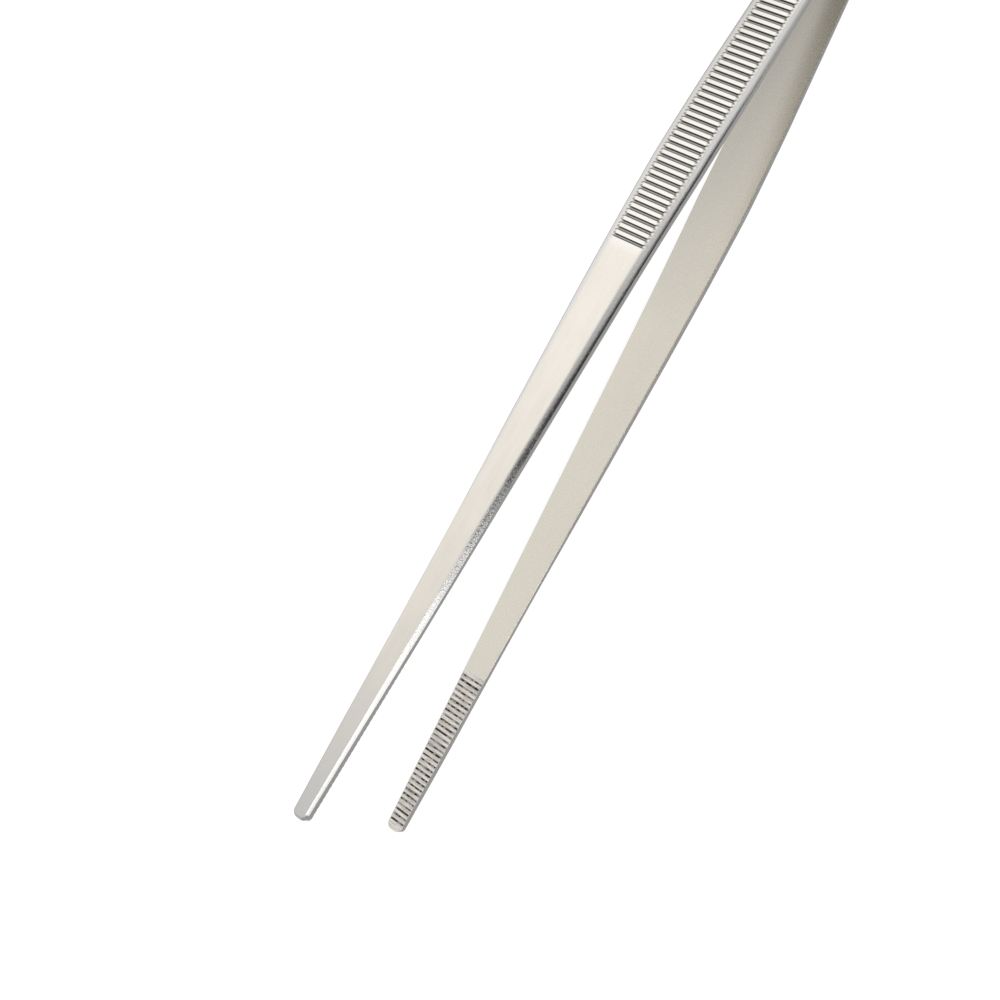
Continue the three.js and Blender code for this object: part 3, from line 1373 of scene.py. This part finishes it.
@dataclass
class Welds:
    """The spot welds between the two arms: flat nuggets with a squeezed-out rim."""

    nodes: tuple[str, ...] = ("rear_spot_weld", "front_spot_weld")
    segments: int = 48
    rim: float = 0.35
    swell: float = 0.02
    crease_angle: float = 30.0

    def nugget(self, node: str, finish: bpy.types.Material) -> bpy.types.Object:
        """Make the nugget that fills one weld's place.

        Args:
            node: The CAD node that it stands for.
            finish: Its material.

        Returns:
            The nugget.
        """
        low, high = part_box(node)
        middle = (low + high) / 2
        Bench.clear_selection()
        bpy.ops.mesh.primitive_cylinder_add(
            vertices=self.segments,
            radius=(high.x - low.x) / 2,
            depth=high.y - low.y,
            location=middle,
            rotation=(math.pi / 2, 0.0, 0.0),
        )
        made = bpy.context.object
        made.name = made.data.name = node.replace("weld", "nugget")
        Bench.fix_transform(made)
        bpy.ops.object.mode_set(mode="EDIT")
        bpy.ops.mesh.select_all(action="DESELECT")
        bpy.ops.object.mode_set(mode="OBJECT")
        for face in made.data.polygons:
            face.select = abs(face.normal.y) > 0.9
        bpy.ops.object.mode_set(mode="EDIT")
        bpy.ops.mesh.select_mode(type="FACE")
        bpy.ops.mesh.inset(thickness=self.rim * MM, depth=-self.swell * MM)
        bpy.ops.mesh.select_all(action="SELECT")
        bpy.ops.mesh.normals_make_consistent(inside=False)
        bpy.ops.object.mode_set(mode="OBJECT")
        made.data.materials.append(finish)
        Bench.shade(made, self.crease_angle)
        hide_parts(node)
        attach(made, "heel")
        return made

    def build(self, finish: bpy.types.Material) -> list[bpy.types.Object]:
        """Make every nugget."""
        return [self.nugget(node, finish) for node in self.nodes]


# ---------------------------------------------------------------------------------------------
# The studio
# ---------------------------------------------------------------------------------------------


class Room(Nodes):
    """The nodes that say how bright the room is in each direction."""

    def __init__(self, tree: bpy.types.NodeTree) -> None:
        """Start with a bare background.

        Args:
            tree: The world's node tree.
        """
        super().__init__(tree)
        self.background = tree.nodes.new("ShaderNodeBackground")
        output = tree.nodes.new("ShaderNodeOutputWorld")
        self.link(self.background.outputs["Background"], output.inputs["Surface"])
        self.way = tree.nodes.new("ShaderNodeTexCoord").outputs["Generated"]

    def ease(self, value: Socket, source: Span, target: Span) -> Socket:
        """Carry a value smoothly from one range to another."""
        return self.remap(value, source, target, smooth=True)

    def show(self, level: Socket) -> None:
        """Use a level as the strength of the background."""
        self.link(level, self.background.inputs["Strength"])


@dataclass
class Studio:
    """The white table, the soft light all round it and the camera.

    The eye is in millimetres, and right and down are directions across the view.
    """

    table_size: float = 40.0
    table_drop: float = 0.1
    box_level: float = 4.0
    near: float = 0.01
    far: float = 100.0
    lens: float = 63.68
    sensor: float = 36.0
    eye: Triple = (47.74, -312.04, 189.66)
    right: Triple = (-0.48185, 0.47017, 0.73944)
    down: Triple = (0.87546, 0.22239, 0.42908)

    def table(self, finish: bpy.types.Material) -> bpy.types.Object:
        """Lay the table just under the tweezers.

        Args:
            finish: Its material.

        Returns:
            The table.
        """
        Bench.clear_selection()
        place = (0.0, 0.0, -self.table_drop * MM)
        bpy.ops.mesh.primitive_plane_add(size=self.table_size, location=place)
        made = bpy.context.object
        made.name = made.data.name = "table"
        Bench.fix_transform(made)
        made.data.materials.append(finish)
        return made

    def surroundings(self) -> None:
        """Light the room: bright low in front, dim overhead, and a soft box over the tips.

        A height is an angle from the front horizon over the zenith, in radians, and x is the
        part of a direction that points along the tweezers.
        """
        world = bpy.data.worlds.new("studio")
        bpy.context.scene.world = world
        world.use_nodes = True
        room = Room(world.node_tree)
        x, y, z = room.axes(room.way)
        height = room.combine(Operation.ANGLE, z, room.times(y, -1.0))
        slant = room.plus(height, room.times(x, 3.0))
        dusk = room.ease(slant, (0.0, 0.42), (0.0, 1.0))
        dusk = room.times(dusk, room.ease(x, (-0.11, -0.02), (0.15, -0.82)))
        dusk = room.plus(dusk, room.ease(x, (-0.32, -0.12), (1.55, 0.95)))
        overhead = room.ease(height, (0.5, 0.8), (1.6, 0.16))
        front = room.combine(Operation.LESSER, dusk, overhead)
        back = room.ease(height, (1.95, 2.45), (0.0, 0.44))
        box = room.times(room.ease(x, (0.05, 0.1), (0.0, 1.0)), self.box_level)
        box = room.times(box, room.ease(x, (0.2, 0.36), (1.0, 0.3)))
        box = room.times(box, room.ease(height, (-0.05, 0.2), (0.0, 1.0)))
        box = room.times(box, room.ease(height, (1.75, 2.25), (1.0, 0.0)))
        room.show(room.combine(Operation.GREATER, room.plus(front, back), box))

    def camera(self) -> bpy.types.Object:
        """Set the camera, looking down and across the tips with the heel out of view.

        Returns:
            The camera.
        """
        made = bpy.data.objects.new("camera", bpy.data.cameras.new("camera"))
        bpy.context.scene.collection.objects.link(made)
        made.data.type = "PERSP"
        made.data.sensor_width = self.sensor
        made.data.lens = self.lens
        made.data.clip_start = self.near
        made.data.clip_end = self.far
        right = Vector(self.right).normalized()
        up = -Vector(self.down).normalized()
        turn = Matrix((right, up, right.cross(up))).transposed().to_4x4()
        made.matrix_world = Matrix.Translation(Vector(self.eye) * MM) @ turn
        bpy.context.scene.camera = made
        return made

    def build(self, finish: bpy.types.Material) -> None:
        """Set up the table, the light and the camera.

        Args:
            finish: The table's material.
        """
        self.table(finish)
        self.surroundings()
        self.camera()
        bpy.context.scene.view_settings.view_transform = "Standard"


# ---------------------------------------------------------------------------------------------
# Putting it together
# ---------------------------------------------------------------------------------------------


@dataclass
class Tweezers:
    """The whole of the tweezers: two arms and the welds that join them."""

    arm: Arm = field(default_factory=Arm)
    welds: Welds = field(default_factory=Welds)
    flex_reach: float = 26.0

    def flex_point(self, joints: list[dict]) -> float:
        """Find how far from the tip the arms flex."""
        return self.arm.form.overall / 2 - joints[0]["pos_m"][0] / MM

    def build(self, joints: list[dict]) -> list[bpy.types.Object]:
        """Make every piece, and fix the welds to the frame's heel.

        Args:
            joints: The frame's joints.

        Returns:
            The pieces.
        """
        finishes = {
            Skin.OUTSIDE: OutsideSteel().material(),
            Skin.EDGE: GroundEdge().material(),
            Skin.INSIDE: MattSteel().material(),
            Skin.TEETH: MilledTeeth().material(),
        }
        left = self.arm.build(finishes)
        right = self.arm.turned_over(left)
        flex = self.flex_point(joints)
        self.arm.join_frame(left, Side.LEFT, flex, self.flex_reach)
        self.arm.join_frame(right, Side.RIGHT, flex, self.flex_reach)
        return [left, right, *self.welds.build(WeldMetal().material())]


def main() -> None:
    """Build the tweezers and the studio."""
    logging.basicConfig(level=logging.INFO, format="%(name)s: %(message)s")
    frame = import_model()
    for piece in Tweezers().build(frame["joints"]):
        LOG.info("%s: %d faces", piece.name, len(piece.data.polygons))
    Studio().build(TableTop().material())


if __name__ == "__main__":
    main()
